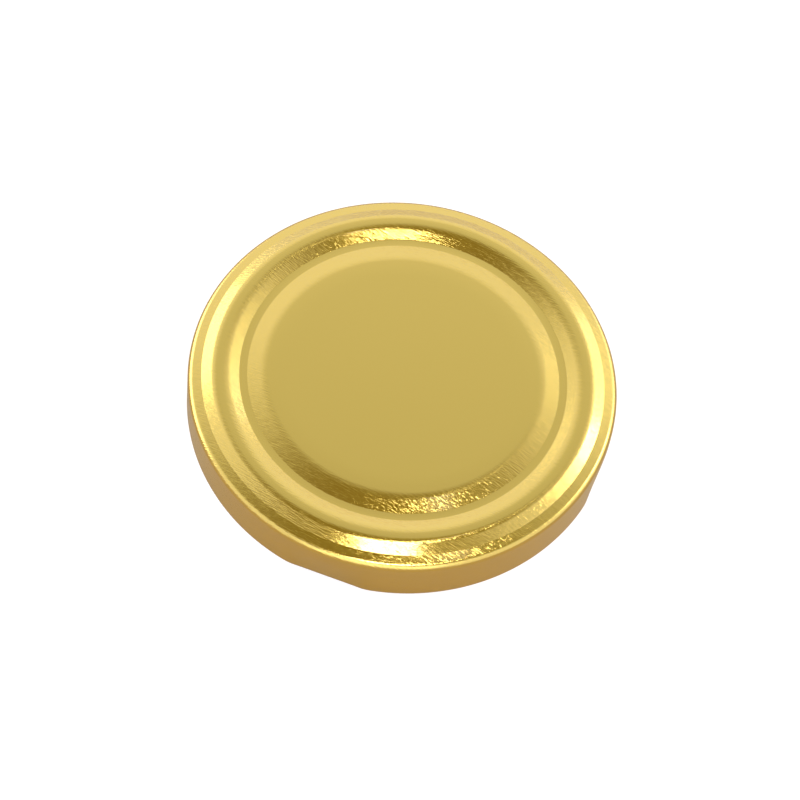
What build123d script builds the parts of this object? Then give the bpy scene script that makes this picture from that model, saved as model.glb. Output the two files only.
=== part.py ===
from build123d import *
import os
from math import ceil, cos, radians, tan

# Twist-off cap for a glass jar, millimetres, +Z up.
# It lies on the curl at the foot of its skirt, open side down, with the origin on the ground below its middle.
# The shell is one drawn sheet. Its section is worked out along the middle of the sheet, from the middle of
# the top to the cut edge inside the curl, and is then given its thickness.

# The sheet and the drawn top, from the skirt inwards: each width is measured from the corner outside it
sheet = 0.18
outer_radius = 34.95
cap_height = 10.4
shoulder_bend = 1.1
ledge_width = 2.22
ledge_slope = 13.5
ledge_below_crown = 1.09
crown_outer_slope = 28.4
crown_outer_bend = 2.0
crown_width = 1.99
crown_inner_bend = 3.2
crown_inner_slope = 24.6
crown_above_valley = 0.95
valley_width = 1.30
panel_slope_width = 2.75
panel_bend = 5.0
panel_above_valley = 0.80

# The curl at the foot of the skirt, rolled inwards, its radius and bends taken on the outside of the sheet
curl_radius = 0.75
curl_turn = 300.0

# The lugs, pressed inwards out of the curl
lug_count = 4
lug_bend = 0.55
lug_reach = 1.45
lug_fold = 0.29
lug_return = 0.45
lug_lift = 0.30
lug_dent = 0.55
lug_sheet = 0.16
lug_flat_angle = 6.5
lug_end_angle = 13.0
pressed_height = 6.6

# The ring of sealing compound set under the crown: its insets from the valley, the ledge's corner and the wall
compound_depth = 1.05
compound_inset = 0.80
compound_lip = 0.30
compound_lip_width = 0.50
compound_face_inset = 1.57
compound_heel_inset = 1.26
compound_heel = 0.70

# How finely bends are laid out, and how far a pressed stretch laps into the plain skirt round it
bend_step = 30.0
bend_steps = 2
fold_steps = 3
flat_steps = 2
end_steps = 4
lap = 0.03
lap_angle = 0.12
settle_height = 0.3
settle_angle = 0.3
room_margin = 1.0
room_depth = 2 * curl_radius + room_margin


def point(radius, height):
    return Vector(radius, 0, height)


# The corners of the sheet's middle line, each reckoned from the one outside it
half = sheet / 2
wall_radius = outer_radius - half
crown_level = cap_height - half
valley_level = crown_level - crown_above_valley
panel_level = valley_level + panel_above_valley
ledge_level = crown_level - ledge_below_crown
shoulder = point(wall_radius, ledge_level - (ledge_width - half) * tan(radians(ledge_slope)))
ledge = point(outer_radius - ledge_width, ledge_level)
crown_out = point(ledge.X - ledge_below_crown / tan(radians(crown_outer_slope)), crown_level)
crown_in = point(crown_out.X - crown_width, crown_level)
valley_out = point(crown_in.X - crown_above_valley / tan(radians(crown_inner_slope)), valley_level)
valley_in = point(valley_out.X - valley_width, valley_level)
panel_edge = point(valley_in.X - panel_slope_width, panel_level)
turning = Axis((0, 0, 0), (0, 1, 0))


def ease(share):
    """0 to 1 with a level start and a level end."""
    share = min(max(share, 0.0), 1.0)
    return share * share * (3 - 2 * share)


def arc_points(centre, spoke, turn, steps):
    """Points along an arc that starts at centre + spoke and turns clockwise, seen with the radius to the right."""
    return [centre + spoke.rotate(turning, turn * k / steps) for k in range(steps + 1)]


def bend(before, corner, after, radius):
    """Points along the bend of this radius that takes the place of a convex corner."""
    way_in = (corner - before).normalized()
    way_out = (after - corner).normalized()
    turn = way_in.get_angle(way_out)
    first = corner - way_in * (radius * tan(radians(turn) / 2))
    spoke = way_in.rotate(turning, -90) * radius
    return arc_points(first - spoke, spoke, turn, ceil(turn / bend_step))


def skin(middle, offset):
    """One face of the sheet: the middle line moved outwards by the offset, or inwards if it is negative."""
    ways = [(after - here).normalized() for here, after in zip(middle, middle[1:])]
    moved = []
    for here, way_in, way_out in zip(middle, ways[:1] + ways, ways + ways[-1:]):
        along = (way_in + way_out).normalized()
        moved.append(here + along.rotate(turning, -90) * (offset / along.dot(way_out)))
    return moved


def sheet_section(middle, thickness):
    """The closed section of a sheet that follows a middle line."""
    outside = skin(middle, thickness / 2)
    inside = skin(middle, -thickness / 2)
    return Face(Wire.make_polygon(outside + inside[::-1], close=True))


def drawn_top():
    """Middle line of the top: panel, slope, valley, crown, ledge and shoulder."""
    middle = point(0, panel_level)
    line = [middle]
    line += bend(middle, panel_edge, valley_in, panel_bend)
    line += [valley_in, valley_out]
    line += bend(valley_out, crown_in, crown_out, crown_inner_bend)
    line += bend(crown_in, crown_out, ledge, crown_outer_bend)
    line += [ledge]
    line += bend(ledge, shoulder, point(wall_radius, 0), shoulder_bend)
    return line


def curl():
    """Middle line of the plain curl, from the foot of the wall round to the cut edge."""
    roll = curl_radius - half
    steps = bend_steps + fold_steps + 2
    return arc_points(point(wall_radius - roll, curl_radius), point(roll, 0), curl_turn, steps)


def lug():
    """Middle line of a lug, point for point beside the curl's: a bend, a reach inwards and a fold back."""
    bend_radius = lug_bend - half
    fold_radius = lug_fold - half
    bend_centre = point(wall_radius - bend_radius, lug_lift + lug_bend)
    fold_centre = point(bend_centre.X - lug_reach, lug_lift + lug_fold)
    line = arc_points(bend_centre, point(bend_radius, 0), 90, bend_steps)
    line += arc_points(fold_centre, point(0, -fold_radius), 180, fold_steps)
    return line + [line[-1] + point(lug_return, 0)]


def pressed_section(angle):
    """The foot of the skirt at this angle from the middle of a lug, whose press leaves the foot straight in plan."""
    end = lug_end_angle - settle_angle
    press = ease((end - abs(angle)) / (end - lug_flat_angle))
    dent = point(max(wall_radius - (wall_radius - lug_dent) / cos(radians(angle)), 0), 0)
    line = [point(wall_radius, pressed_height + lap), point(wall_radius, pressed_height - settle_height)]
    line += [a + (b - a) * press - dent for a, b in zip(curl(), lug())]
    return sheet_section(line, lug_sheet).rotate(Axis.Z, angle)


def pressed_lug():
    """One lug with its stretch of wall, lofted through sections that run from the curl into the lug and back."""
    end = lug_end_angle - settle_angle
    angles = [lug_flat_angle * k / flat_steps for k in range(flat_steps)]
    angles += [lug_flat_angle + (end - lug_flat_angle) * k / end_steps for k in range(end_steps + 1)]
    angles += [lug_end_angle + lap_angle]
    angles = [-angle for angle in reversed(angles[1:])] + angles
    return Solid.make_loft([pressed_section(angle).outer_wire() for angle in angles])


def room_for_lug():
    """The stretch of plain wall and curl that a lug takes the place of."""
    inner = outer_radius - room_depth
    outer = outer_radius + room_margin
    outline = [
        point(inner, -room_margin),
        point(outer, -room_margin),
        point(outer, pressed_height),
        point(inner, pressed_height),
    ]
    face = Face(Wire.make_polygon(outline, close=True)).rotate(Axis.Z, -lug_end_angle)
    return revolve(face, Axis.Z, 2 * lug_end_angle).solid()


def round_the_cap(solid):
    return [solid.rotate(Axis.Z, 360 / lug_count * k) for k in range(lug_count)]


# The shell: the whole section turned about the axis, with the lugs let into the foot of the skirt
between_lugs = 180 / lug_count
shell_section = sheet_section(drawn_top() + curl(), sheet)
turned_shell = revolve(shell_section.rotate(Axis.Z, between_lugs), Axis.Z, 360).solid()
notched_shell = turned_shell.cut(*round_the_cap(room_for_lug())).solid()
cap_shell = notched_shell.fuse(*round_the_cap(pressed_lug())).solid()

# The sealing ring: what lies between the sheet and the face that the compound sets to
compound_face = cap_height - sheet - compound_depth
compound_inner_radius = valley_out.X + compound_inset
compound_outline = [
    point(compound_inner_radius, cap_height),
    point(compound_inner_radius, compound_face + compound_lip),
    point(compound_inner_radius + compound_lip_width, compound_face),
    point(ledge.X - compound_face_inset, compound_face),
    point(wall_radius - compound_heel_inset, compound_face - compound_heel),
    point(wall_radius, compound_face - compound_heel),
    point(wall_radius, cap_height),
]
compound_region = Face(Wire.make_polygon(compound_outline, close=True)).cut(shell_section)
ring_section = compound_region.faces().sort_by(Axis.Z)[0]
sealing_ring = revolve(ring_section, Axis.Z, 360).solid()

pieces = {"cap_shell": cap_shell, "sealing_ring": sealing_ring}
os.makedirs("parts", exist_ok=True)
for name, solid in pieces.items():
    export_step(solid, f"parts/{name}.step")
    print(name, round(solid.volume, 2), "cubic millimetres")
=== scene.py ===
from math import ceil, cos, degrees, hypot, pi, radians, sin, tan

import bpy
from mathutils import Matrix, Vector


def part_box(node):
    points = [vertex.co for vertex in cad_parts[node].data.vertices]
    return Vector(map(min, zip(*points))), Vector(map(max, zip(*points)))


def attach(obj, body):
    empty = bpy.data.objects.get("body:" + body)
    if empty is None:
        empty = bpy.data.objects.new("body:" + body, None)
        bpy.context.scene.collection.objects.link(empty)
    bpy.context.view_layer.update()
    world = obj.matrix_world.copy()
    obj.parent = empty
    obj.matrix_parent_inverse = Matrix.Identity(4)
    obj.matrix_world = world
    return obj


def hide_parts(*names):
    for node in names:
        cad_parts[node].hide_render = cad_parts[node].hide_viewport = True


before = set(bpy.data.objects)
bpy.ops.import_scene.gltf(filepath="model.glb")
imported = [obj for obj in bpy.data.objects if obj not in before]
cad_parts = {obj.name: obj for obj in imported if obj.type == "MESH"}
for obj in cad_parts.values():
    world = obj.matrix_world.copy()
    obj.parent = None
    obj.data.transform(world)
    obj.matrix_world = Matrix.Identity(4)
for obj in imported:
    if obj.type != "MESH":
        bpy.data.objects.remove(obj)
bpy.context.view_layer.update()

mm = 0.001

# The shell is one disc of tinplate, drawn into a stepped top and a plain skirt. The line below is the middle of the
# sheet from the middle of the top to the foot of the skirt, with each crease and bend rolled to its own radius.
sheet = 0.18
outer_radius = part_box("cap_shell")[1].x / mm
cap_height = 10.4
ledge_width, ledge_below_crown, ledge_slope, ledge_bend = 2.22, 1.09, 13.5, 0.30
crown_width, crown_above_valley = 1.99, 0.95
crown_inner_slope, crown_inner_bend = 24.6, 3.2
crown_outer_slope, crown_outer_bend = 28.4, 2.0
valley_width, valley_bend = 1.30, 0.35
panel_slope_width, panel_bend, panel_above_valley = 2.75, 5.0, 0.80
shoulder_bend = 1.1
turn_step = 5.0
panel_rows = (3, 8, 14, 19)

half = sheet / 2
wall_radius = outer_radius - half
crown_level = cap_height - half
valley_level = crown_level - crown_above_valley
panel_level = valley_level + panel_above_valley
ledge_level = crown_level - ledge_below_crown


def bent(before, corner, after, radius):
    """Points along the bend of this radius that takes the place of a corner."""
    way_in = (corner - before).normalized()
    way_out = (after - corner).normalized()
    turn = way_in.angle_signed(way_out)
    steps = max(2, ceil(abs(degrees(turn)) / turn_step))
    side = Vector((way_in.y, -way_in.x)) if turn > 0 else Vector((-way_in.y, way_in.x))
    start = corner - way_in * (radius * tan(abs(turn) / 2))
    centre = start + side * radius
    return [centre + Matrix.Rotation(-turn * k / steps, 2) @ (start - centre) for k in range(steps + 1)]


shoulder = Vector((wall_radius, ledge_level - (ledge_width - half) * tan(radians(ledge_slope))))
ledge = Vector((outer_radius - ledge_width, ledge_level))
crown_out = ledge + Vector((-ledge_below_crown / tan(radians(crown_outer_slope)), ledge_below_crown))
crown_in = crown_out - Vector((crown_width, 0))
valley_out = crown_in - Vector((crown_above_valley / tan(radians(crown_inner_slope)), crown_above_valley))
valley_in = valley_out - Vector((valley_width, 0))
panel_edge = Vector((valley_in.x - panel_slope_width, panel_level))
middle = Vector((0, panel_level))
foot = Vector((wall_radius, 0))

drawn_top = [Vector((radius, panel_level)) for radius in panel_rows]
drawn_top += bent(middle, panel_edge, valley_in, panel_bend)
drawn_top += bent(panel_edge, valley_in, valley_out, valley_bend)
drawn_top += bent(valley_in, valley_out, crown_in, valley_bend)
drawn_top += bent(valley_out, crown_in, crown_out, crown_inner_bend)
drawn_top += bent(crown_in, crown_out, ledge, crown_outer_bend)
drawn_top += bent(crown_out, ledge, shoulder, ledge_bend)
drawn_top += bent(ledge, shoulder, foot, shoulder_bend)

# The foot of the skirt is curled inwards for grip and stiffness, and at four places the curl and the wall above it
# are pressed in and flattened into lugs that catch under the threads of the jar.
curl_radius, curl_turn = 0.75, 300.0
lug_count, lug_bend, lug_reach, lug_fold, lug_return = 4, 0.55, 1.45, 0.29, 0.45
lug_lift, lug_dent = 0.30, 0.55
lug_flat_angle, lug_end_angle, pressed_height = 6.5, 13.0, 6.6
dent_softness = 0.08
full_stretch = 10.0
bend_steps, fold_steps, wall_steps, rounds = 10, 16, 14, 480


def ease(share):
    """0 to 1 with a level start and a level end."""
    share = min(max(share, 0.0), 1.0)
    return share * share * (3 - 2 * share)


def roll(centre, radius, start, turn, steps):
    """Points along an arc in the section, clockwise from an angle in degrees above the outward way."""
    angles = [radians(start - turn * k / steps) for k in range(steps + 1)]
    return [Vector((centre[0] + radius * cos(a), centre[1] + radius * sin(a))) for a in angles]


curl_roll = curl_radius - half
curl = roll((wall_radius - curl_roll, curl_radius), curl_roll, 0, curl_turn, bend_steps + fold_steps + 2)

bend_roll, fold_roll = lug_bend - half, lug_fold - half
bend_middle = (wall_radius - bend_roll, lug_lift + lug_bend)
fold_middle = (bend_middle[0] - lug_reach, lug_lift + lug_fold)
lug = roll(bend_middle, bend_roll, 0, 90, bend_steps) + roll(fold_middle, fold_roll, -90, 180, fold_steps)
lug.append(lug[-1] + Vector((lug_return, 0)))


def skirt(angle):
    """Middle line of the wall and foot at this angle: the plain curl, the lug, or the stretch between them.
    The press leaves the foot straight in plan along the lug, and the dent dies away up the wall."""
    pitch = 360 / lug_count
    off = abs((angle + pitch / 2) % pitch - pitch / 2)
    press = ease((lug_end_angle - off) / (lug_end_angle - lug_flat_angle))
    chord = wall_radius - (wall_radius - lug_dent) / cos(radians(off))
    dent = (chord + hypot(chord, dent_softness)) / 2
    top = drawn_top[-1].y
    line = []
    for k in range(1, wall_steps):
        height = top + (curl_radius - top) * k / wall_steps
        pressed = max(pressed_height - height, 0) / (pressed_height - curl_radius)
        line.append(Vector((wall_radius - dent * pressed ** 1.3, height)))
    return line + [a.lerp(b, press) - Vector((dent, 0)) for a, b in zip(curl, lug)]


def skin(line, offset):
    """The line moved square to itself, outwards or, if the offset is negative, inwards."""
    moved = []
    for before, here, after in zip([line[0]] + line[:-1], line, line[1:] + [line[-1]]):
        way = (after - before).normalized()
        moved.append(here + Vector((-way.y, way.x)) * offset)
    return moved


blank_reach = [drawn_top[0].x]
sample = drawn_top + skirt(360 / lug_count / 2)
for before, after in zip(sample, sample[1:]):
    blank_reach.append(blank_reach[-1] + (after - before).length)

def steepness(line):
    """How far each point of the line lies off the level, 0 on the flats to 1 on the slopes."""
    ways = [(after - before).normalized() for before, after in zip([line[0]] + line[:-1], line[1:] + [line[-1]])]
    return [min(1.0, abs(way.y) / sin(radians(full_stretch))) for way in ways]


points, on_blank, worked = [], [], []
for turn in range(rounds):
    angle = 360 * turn / rounds
    c, s = cos(radians(angle)), sin(radians(angle))
    line = drawn_top + skirt(angle)
    for face in (skin(line, half), skin(line, -half)[::-1]):
        points += [(p.x * c * mm, p.x * s * mm, p.y * mm) for p in face]
    for reach in blank_reach + blank_reach[::-1]:
        on_blank.append((reach * c * mm, reach * s * mm, 0))
    stretch = steepness(line)
    worked += stretch + stretch[::-1]
count = 2 * len(sample)
faces = []
for turn in range(rounds):
    here, beyond = turn * count, (turn + 1) % rounds * count
    faces += [(here + k, here + k + 1, beyond + k + 1, beyond + k) for k in range(count - 1)]
for k, level in ((0, panel_level + half), (count - 1, panel_level - half)):
    rim = [turn * count + k for turn in range(rounds)]
    faces.append(rim if k == 0 else rim[::-1])

shell_mesh = bpy.data.meshes.new("cap_shell_sheet")
shell_mesh.from_pydata(points, [], faces)
flat_place = shell_mesh.attributes.new("blank", "FLOAT_VECTOR", "POINT")
flat_place.data.foreach_set("vector", [x for place in on_blank for x in place])
stretch_share = shell_mesh.attributes.new("worked", "FLOAT", "POINT")
stretch_share.data.foreach_set("value", worked)
shell_mesh.shade_smooth()
shell = bpy.data.objects.new("cap_shell_sheet", shell_mesh)
bpy.context.scene.collection.objects.link(shell)
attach(shell, "root")
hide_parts("cap_shell")

# The tinplate is lacquered gold on both faces before it is pressed. The rolling of the sheet shows through the clear
# lacquer as short fine strokes that all run one way, laid out flat as on the blank. Where the press has stretched
# the sheet into slopes the strokes are opened up and glitter, and the flats stay smooth.
gold = (0.83, 0.60, 0.14)
rolling_way = -10.0
stroke_length, stroke_width, stroke_depth = 1.7, 0.20, 0.055
flat_share = 0.05

lacquer = bpy.data.materials.new("gold_lacquer")
lacquer.use_nodes = True
nodes, links = lacquer.node_tree.nodes, lacquer.node_tree.links
surface = nodes["Principled BSDF"]
surface.inputs["Metallic"].default_value = 1.0
surface.inputs["Coat Weight"].default_value = 1.0
surface.inputs["Coat Roughness"].default_value = 0.12

blank = nodes.new("ShaderNodeAttribute")
blank.attribute_name = "blank"
along = nodes.new("ShaderNodeVectorRotate")
along.rotation_type = "Z_AXIS"
along.inputs["Angle"].default_value = radians(-rolling_way)
links.new(blank.outputs["Vector"], along.inputs["Vector"])


def strokes(length, width, detail):
    """Noise drawn out along the rolling way, with strokes of this length and width in millimetres."""
    stretch = nodes.new("ShaderNodeMapping")
    stretch.inputs["Scale"].default_value = (1 / (length * mm), 1 / (width * mm), 1 / (width * mm))
    noise = nodes.new("ShaderNodeTexNoise")
    noise.inputs["Scale"].default_value = 1.0
    noise.inputs["Detail"].default_value = detail
    links.new(along.outputs["Vector"], stretch.inputs["Vector"])
    links.new(stretch.outputs["Vector"], noise.inputs["Vector"])
    return noise.outputs["Fac"]


stretched = nodes.new("ShaderNodeAttribute")
stretched.attribute_name = "worked"
depth = nodes.new("ShaderNodeMapRange")
depth.inputs["To Min"].default_value = flat_share
depth.inputs["To Max"].default_value = 1.0
links.new(stretched.outputs["Fac"], depth.inputs["Value"])
relief = nodes.new("ShaderNodeBump")
relief.inputs["Distance"].default_value = stroke_depth * mm
links.new(depth.outputs["Result"], relief.inputs["Strength"])
links.new(strokes(stroke_length, stroke_width, 2), relief.inputs["Height"])
links.new(relief.outputs["Normal"], surface.inputs["Normal"])

surface.inputs["Base Color"].default_value = (*gold, 1)
surface.inputs["Roughness"].default_value = 0.13
shell_mesh.materials.append(lacquer)

# The sealing ring is compound flowed into the channel under the crown and baked there. It is pale, smooth and a
# little dull, with soft edges, and its back takes the form of the sheet above it.
compound_depth, compound_inset, compound_lip, compound_lip_width = 1.05, 0.80, 0.30, 0.50
compound_face_inset, compound_heel_inset, compound_heel = 1.57, 1.26, 0.70
compound_rounding = 0.35

under = skin(drawn_top, -half)
face_level = cap_height - sheet - compound_depth
inner_edge, wall_face = valley_out.x + compound_inset, wall_radius - half
corners = [
    Vector((inner_edge, face_level + 1.2)),
    Vector((inner_edge, face_level + compound_lip)),
    Vector((inner_edge + compound_lip_width, face_level)),
    Vector((ledge.x - compound_face_inset, face_level)),
    Vector((wall_radius - compound_heel_inset, face_level - compound_heel)),
    Vector((wall_face, face_level - compound_heel)),
]
ring_face = []
for before, corner, after in zip(corners, corners[1:], corners[2:]):
    ring_face += bent(before, corner, after, compound_rounding if corner.x > inner_edge else 0.15)
ring_face.append(corners[-1])
before, after = next((a, b) for a, b in zip(under, under[1:]) if a.x <= inner_edge < b.x)
seat = before.lerp(after, (inner_edge - before.x) / (after.x - before.x))
section = ring_face + [seat] + [p for p in under if p.x > inner_edge]
section[len(ring_face):] = section[len(ring_face):][::-1]

ring_points, ring_faces, ring_rounds = [], [], 360
for turn in range(ring_rounds):
    angle = 2 * pi * turn / ring_rounds
    ring_points += [(p.x * cos(angle) * mm, p.x * sin(angle) * mm, p.y * mm) for p in section]
for turn in range(ring_rounds):
    here, beyond = turn * len(section), (turn + 1) % ring_rounds * len(section)
    for k in range(len(section)):
        after = (k + 1) % len(section)
        ring_faces.append((here + k, here + after, beyond + after, beyond + k))
ring_mesh = bpy.data.meshes.new("sealing_ring_compound")
ring_mesh.from_pydata(ring_points, [], ring_faces)
ring_mesh.shade_smooth()
ring = bpy.data.objects.new("sealing_ring_compound", ring_mesh)
bpy.context.scene.collection.objects.link(ring)
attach(ring, "root")
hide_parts("sealing_ring")

compound = bpy.data.materials.new("sealing_compound")
compound.use_nodes = True
nodes, links = compound.node_tree.nodes, compound.node_tree.links
surface = nodes["Principled BSDF"]
flow = nodes.new("ShaderNodeTexNoise")
flow.inputs["Scale"].default_value = 900
place = nodes.new("ShaderNodeTexCoord")
links.new(place.outputs["Object"], flow.inputs["Vector"])
pale = nodes.new("ShaderNodeMix")
pale.data_type = "RGBA"
pale.inputs["A"].default_value = (0.66, 0.63, 0.56, 1)
pale.inputs["B"].default_value = (0.72, 0.69, 0.62, 1)
links.new(flow.outputs["Fac"], pale.inputs["Factor"])
links.new(pale.outputs["Result"], surface.inputs["Base Color"])
surface.inputs["Roughness"].default_value = 0.45
dimple = nodes.new("ShaderNodeBump")
dimple.inputs["Distance"].default_value = 0.01 * mm
links.new(flow.outputs["Fac"], dimple.inputs["Height"])
links.new(dimple.outputs["Normal"], surface.inputs["Normal"])
ring_mesh.materials.append(compound)

# The ground is a plain sheet of warm white paper. The camera sees it blown out to white, apart from the cap's own
# faint shadow, and the cap's skirt sees its plain colour.
ground_size = 3.0
ground_mesh = bpy.data.meshes.new("ground")
r = ground_size / 2
ground_mesh.from_pydata([(-r, -r, 0), (r, -r, 0), (r, r, 0), (-r, r, 0)], [], [(0, 1, 2, 3)])
ground = bpy.data.objects.new("ground", ground_mesh)
bpy.context.scene.collection.objects.link(ground)
paper = bpy.data.materials.new("ground_paper")
paper.use_nodes = True
nodes, links = paper.node_tree.nodes, paper.node_tree.links
nodes.remove(nodes["Principled BSDF"])
plain = nodes.new("ShaderNodeBsdfDiffuse")
plain.inputs["Color"].default_value = (0.49, 0.40, 0.30, 1)
lit = nodes.new("ShaderNodeEmission")
lit.inputs["Color"].default_value = (0.70, 0.75, 0.84, 1)
rays = nodes.new("ShaderNodeLightPath")
both = nodes.new("ShaderNodeAddShader")
links.new(rays.outputs["Is Camera Ray"], lit.inputs["Strength"])
links.new(plain.outputs["BSDF"], both.inputs[0])
links.new(lit.outputs["Emission"], both.inputs[1])
links.new(both.outputs["Shader"], nodes["Material Output"].inputs["Surface"])
ground_mesh.materials.append(paper)

# The camera looks down at 59 degrees from in front, turned a little to the right, and is tipped by 8 degrees.
elevation, azimuth, tip = radians(58.86), radians(13.0), radians(8.19)
picture = 800
pixels_per_radius, distance = 215.67, 14.0
aim_right, aim_up = 3.75, 23.8
right = Vector((cos(azimuth), sin(azimuth), 0))
back = Vector((sin(azimuth) * cos(elevation), -cos(azimuth) * cos(elevation), sin(elevation)))
up = back.cross(right)
right, up = right * cos(tip) + up * sin(tip), up * cos(tip) - right * sin(tip)
focus = Vector((0, 0, (valley_level + half) * mm))
radius = outer_radius * mm
at = focus + radius * (distance * back - (aim_right * right + aim_up * up) / pixels_per_radius)
lens = bpy.data.cameras.new("camera")
lens.sensor_width = 36
lens.lens = 36 * pixels_per_radius * distance / picture
camera = bpy.data.objects.new("camera", lens)
camera.matrix_world = Matrix.Translation(at) @ Matrix((right, up, back)).transposed().to_4x4()
bpy.context.scene.collection.objects.link(camera)
bpy.context.scene.camera = camera

# The room is white to about half way up. Above that the far side is grey, and overhead and on the camera's side,
# where the camera and its stand are, it is dark and brown.
facing = Vector((back.x, back.y, 0)).normalized()
side = Vector((-facing.y, facing.x, 0))
far_stops = (
    (0, (1.0, 1.0, 1.0)), (42, (1.0, 1.0, 1.0)), (46, (0.94, 0.94, 0.92)), (51, (0.85, 0.85, 0.80)),
    (57, (0.71, 0.72, 0.63)), (63, (0.62, 0.62, 0.50)), (69, (0.46, 0.44, 0.30)), (75, (0.35, 0.31, 0.16)),
    (83, (0.30, 0.25, 0.10)),
)
near_stops = (
    (0, (1.0, 1.0, 1.0)), (42, (1.0, 1.0, 1.0)), (46, (0.95, 0.95, 0.92)), (51, (0.80, 0.80, 0.74)),
    (57, (0.48, 0.44, 0.30)), (63, (0.28, 0.23, 0.08)), (75, (0.25, 0.19, 0.04)),
)
world = bpy.data.worlds.new("room")
bpy.context.scene.world = world
world.use_nodes = True
nodes, links = world.node_tree.nodes, world.node_tree.links
sky = nodes["Background"]
way = nodes.new("ShaderNodeTexCoord")
parts = nodes.new("ShaderNodeSeparateXYZ")
links.new(way.outputs["Generated"], parts.inputs["Vector"])
halves = []
for stops in (near_stops, far_stops):
    ramp = nodes.new("ShaderNodeValToRGB")
    links.new(parts.outputs["Z"], ramp.inputs["Fac"])
    ramp.color_ramp.elements.remove(ramp.color_ramp.elements[1])
    for k, (height, colour) in enumerate(stops):
        place = sin(radians(height))
        stop = ramp.color_ramp.elements[0] if k == 0 else ramp.color_ramp.elements.new(place)
        stop.position = place
        stop.color = (*colour, 1)
    halves.append(ramp.outputs["Color"])
towards = nodes.new("ShaderNodeVectorMath")
towards.operation = "DOT_PRODUCT"
towards.inputs[1].default_value = facing
links.new(way.outputs["Generated"], towards.inputs[0])
far_share = nodes.new("ShaderNodeMapRange")
far_share.inputs["From Min"].default_value = 0.16
far_share.inputs["From Max"].default_value = -0.30
links.new(towards.outputs["Value"], far_share.inputs["Value"])
room = nodes.new("ShaderNodeMix")
room.data_type = "RGBA"
links.new(far_share.outputs["Result"], room.inputs["Factor"])
links.new(halves[0], room.inputs["A"])
links.new(halves[1], room.inputs["B"])
seen = nodes.new("ShaderNodeLightPath")
white = nodes.new("ShaderNodeMix")
white.data_type = "RGBA"
white.inputs["B"].default_value = (1, 1, 1, 1)
links.new(seen.outputs["Is Camera Ray"], white.inputs["Factor"])
links.new(room.outputs["Result"], white.inputs["A"])
links.new(white.outputs["Result"], sky.inputs["Color"])

# White cards stand low to the left, the right and in front, with a window beyond the right one, and two lamps hang
# overhead, one near the camera and one to the right of the top.
lamp_distance = 2.0


def lamp(name, heading, height, wide, tall, glow):
    """A soft lamp aimed at the cap, all in degrees as seen from the cap. The heading is 0 to the right of the
    camera's view and 90 on its own side, and the glow is told against the white of the walls."""
    way = (side * cos(radians(heading)) + facing * sin(radians(heading))) * cos(radians(height))
    way += Vector((0, 0, sin(radians(height))))
    light = bpy.data.lights.new(name, "AREA")
    light.shape = "RECTANGLE"
    light.size = 2 * lamp_distance * tan(radians(wide / 2))
    light.size_y = 2 * lamp_distance * tan(radians(tall / 2))
    light.energy = glow * pi * light.size * light.size_y
    post = bpy.data.objects.new(name, light)
    post.location = way * lamp_distance
    post.rotation_euler = way.to_track_quat("Z", "Y").to_euler()
    bpy.context.scene.collection.objects.link(post)


lamp("right_card", 328, 22, 50, 30, 1.0)
lamp("right_window", 340, 31, 16, 11, 6.0)
lamp("left_card", 205, 16, 52, 34, 1.6)
lamp("front_card", 90, 28, 54, 36, 0.7)
lamp("top_lamp", 347, 79, 5, 5, 3.5)
lamp("front_lamp", 84, 67, 16, 10, 14.0)

bpy.context.scene.view_settings.view_transform = "Standard"
